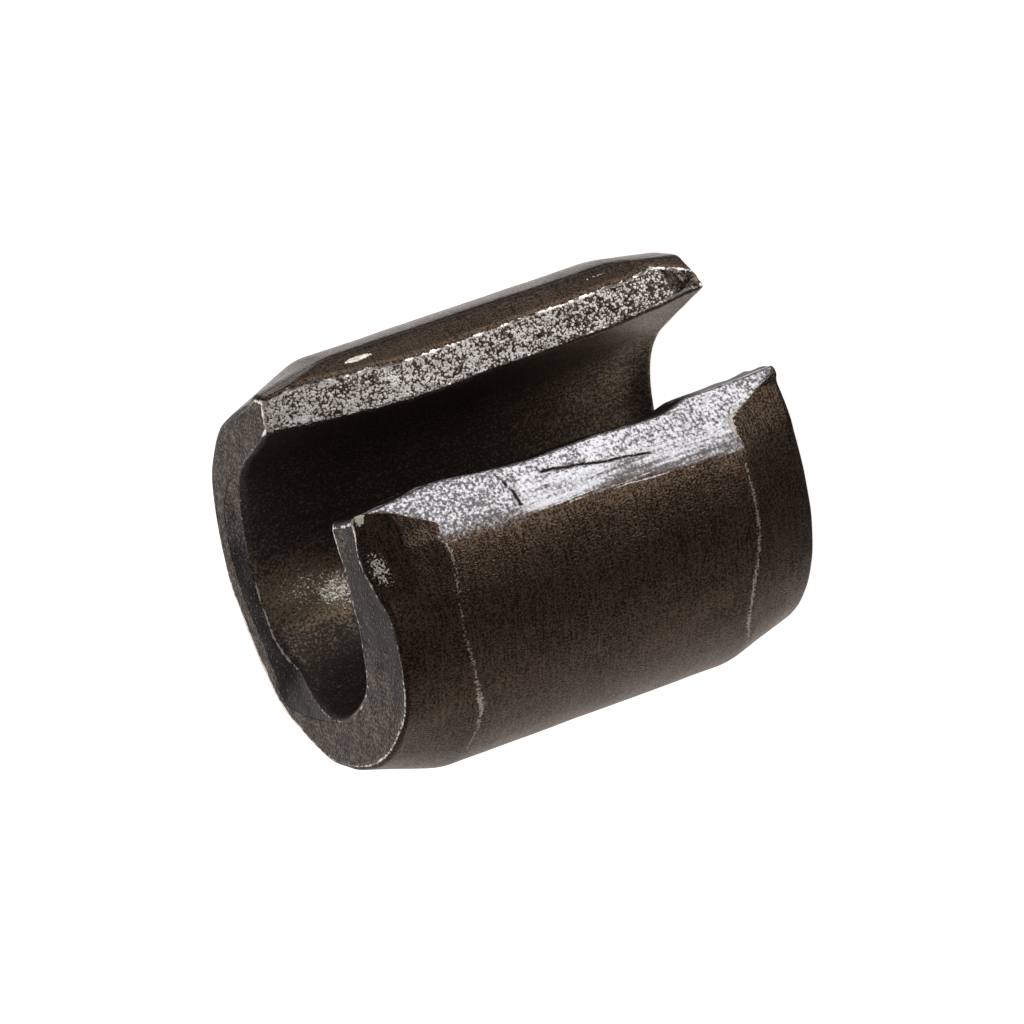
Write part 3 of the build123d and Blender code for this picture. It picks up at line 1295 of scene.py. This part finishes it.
@dataclass(frozen=True)
class Studio:
    """Camera, soft lights and floor. Directions are the camera's own: right, down and forward.

    Attributes:
        camera_place, camera_right, camera_down: Where the camera is, and two edges of its picture.
        focal_length, film_width: Its lens.
        clip_start, clip_end: The distances between which it sees, in metres.
        target: What the lamps face.
        lamp_distance: Their distance from it, in metres.
        lamps: The lamps.
        world_level: Strength of the even light from all round.
        floor_half: Half the floor's width, in metres.
        floor_glow: Strength of the floor's own light.
    """

    camera_place: Triple = (-127.842, -143.275, 89.217)
    camera_right: Triple = (-0.50558, -0.04350, -0.86168)
    camera_down: Triple = (-0.60804, 0.72652, 0.32009)
    focal_length: float = 246.094
    film_width: float = 36.0
    clip_start: float = 0.01
    clip_end: float = 50.0
    target: Triple = (0.0, 0.0, 7.0)
    lamp_distance: float = 0.35
    lamps: tuple[Lamp, ...] = (
        Lamp("key", (0.2, -0.87, -0.42), 0.34, 0.75, (0.96, 0.98, 1.0)),
        Lamp("front", (0.66, -0.3, -0.69), 0.14, 0.26, (1.0, 0.97, 0.94)),
        Lamp("paper", (0.47, 0.8, 0.2), 0.32, 0.18, (1.0, 0.92, 0.82)),
        Lamp("ground", (0.2, 0.42, 0.88), 0.28, 0.145, (1.0, 0.85, 0.74)),
        Lamp("backdrop", (-0.08, -0.38, 0.92), 0.26, 0.24, (1.0, 0.95, 0.93)),
        Lamp("side", (-0.66, 0.2, 0.72), 0.18, 0.14, (1.0, 0.95, 0.9)),
    )
    world_level: float = 0.25
    floor_half: float = 20.0
    floor_glow: float = 0.95

    def axes(self) -> tuple[Vector, Vector, Vector]:
        """Unit vectors to the picture's right, down it, and away from the camera.

        Returns:
            The three vectors.
        """
        right = Vector(self.camera_right).normalized()
        down = Vector(self.camera_down)
        down = (down - right * down.dot(right)).normalized()
        return right, down, right.cross(down)

    def add_camera(self) -> bpy.types.Object:
        """The camera, turned so that its picture has the given right and down.

        Returns:
            The camera's object.
        """
        right, down, forward = self.axes()
        data = bpy.data.cameras.new("product_camera")
        data.lens = self.focal_length
        data.sensor_width = self.film_width
        data.clip_start = self.clip_start
        data.clip_end = self.clip_end
        camera = bpy.data.objects.new("product_camera", data)
        turned = Matrix((right, -down, -forward)).transposed()
        camera.matrix_world = Matrix.Translation(Vector(self.camera_place) * MM) @ turned.to_4x4()
        bpy.context.scene.collection.objects.link(camera)
        bpy.context.scene.camera = camera
        return camera

    def add_lamp(self, lamp: Lamp) -> bpy.types.Object:
        """One lamp.

        Args:
            lamp: What it is like.

        Returns:
            The light's object.
        """
        right, down, forward = self.axes()
        heading = (right * lamp.way[0] + down * lamp.way[1] + forward * lamp.way[2]).normalized()
        data = bpy.data.lights.new(lamp.name, "AREA")
        data.shape = "SQUARE"
        data.size = lamp.size
        data.energy = lamp.power
        data.color = lamp.colour
        light = bpy.data.objects.new(lamp.name, data)
        light.location = Vector(self.target) * MM + heading * self.lamp_distance
        light.rotation_euler = heading.to_track_quat("Z", "Y").to_euler()
        light.visible_camera = False
        bpy.context.scene.collection.objects.link(light)
        return light

    def add_floor(self) -> bpy.types.Object:
        """The plain pale floor under the pin, which neither lights it nor shows in it.

        Returns:
            The floor's object.
        """
        half = self.floor_half
        corners = [(-half, -half, 0), (half, -half, 0), (half, half, 0), (-half, half, 0)]
        mesh = bpy.data.meshes.new("floor")
        mesh.from_pydata(corners, [], [(0, 1, 2, 3)])
        floor = bpy.data.objects.new("floor", mesh)
        bpy.context.scene.collection.objects.link(floor)
        material = bpy.data.materials.new("pale_floor")
        material.use_nodes = True
        inputs = material.node_tree.nodes["Principled BSDF"].inputs
        inputs["Base Color"].default_value = (0.8, 0.8, 0.8, 1.0)
        inputs["Roughness"].default_value = 0.9
        inputs["Emission Color"].default_value = (1.0, 1.0, 1.0, 1.0)
        inputs["Emission Strength"].default_value = self.floor_glow
        mesh.materials.append(material)
        floor.visible_glossy = False
        floor.visible_diffuse = False
        floor.visible_shadow = False
        return floor

    def add_world(self) -> None:
        """Even light from all round."""
        world = bpy.data.worlds.new("soft_room")
        bpy.context.scene.world = world
        world.use_nodes = True
        background = world.node_tree.nodes["Background"]
        background.inputs["Color"].default_value = (1.0, 1.0, 1.0, 1.0)
        background.inputs["Strength"].default_value = self.world_level

    def build(self) -> None:
        """Builds the whole stage, and keeps the picture's colours as they are lit."""
        self.add_camera()
        self.add_world()
        for lamp in self.lamps:
            self.add_lamp(lamp)
        self.add_floor()
        bpy.context.scene.view_settings.view_transform = "Standard"


# ---- building --------------------------------------------------------------------------------


def shell_mesh(name: str, places: Array) -> tuple[bpy.types.Mesh, Array]:
    """A closed mesh of the six faces of a box lattice.

    Each face's quads join neighbours of its grid, turned so that they face outwards, and the grids share
    their border vertices.

    Args:
        name: Name of the mesh.
        places: Lattice of places in millimetres, three grid axes and then x, y and z.

    Returns:
        The mesh, in metres, and the mask of the lattice's shell, whose order the vertices follow.
    """
    shape = places.shape[:3]
    shell = np.ones(shape, bool)
    shell[1:-1, 1:-1, 1:-1] = False
    index = np.full(shape, -1)
    index[shell] = np.arange(shell.sum())
    quads, sides = [], []
    for axis in range(3):
        for last in (0, 1):
            grid = np.take(index, -last, axis=axis)
            corners = (grid[:-1, :-1], grid[1:, :-1], grid[1:, 1:], grid[:-1, 1:])
            quad = np.stack(corners, axis=-1).reshape(-1, 4)
            quads.append(quad[:, ::-1] if (last == 1) == (axis == 1) else quad)
            sides.append(np.full(len(quad), 2 * axis + last))
    faces, side = np.concatenate(quads), np.concatenate(sides)
    mesh = bpy.data.meshes.new(name)
    points = places[shell] * MM
    mesh.vertices.add(len(points))
    mesh.vertices.foreach_set("co", points.astype(np.float32).ravel())
    mesh.loops.add(faces.size)
    mesh.loops.foreach_set("vertex_index", faces.astype(np.int32).ravel())
    mesh.polygons.add(len(faces))
    mesh.polygons.foreach_set("loop_start", np.arange(0, faces.size, 4, dtype=np.int32))
    mesh.polygons.foreach_set("use_smooth", np.ones(len(faces), bool))
    mesh.update(calc_edges=True)
    for zone, members in ZONES.items():
        layer = mesh.attributes.new(zone, "FLOAT", "FACE")
        layer.data.foreach_set("value", np.isin(side, members).astype(np.float32))
    mesh.validate()
    return mesh, shell


def main() -> None:
    """Builds the pin and its stage."""
    logging.basicConfig(level=logging.INFO, format="%(message)s")
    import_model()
    Studio().build()
    pin = RolledStrip().build()
    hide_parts(NODE)
    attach(pin, BODY)
    log.info("rolled_strip: %d vertices, %d faces", len(pin.data.vertices), len(pin.data.polygons))


if __name__ == "__main__":
    main()
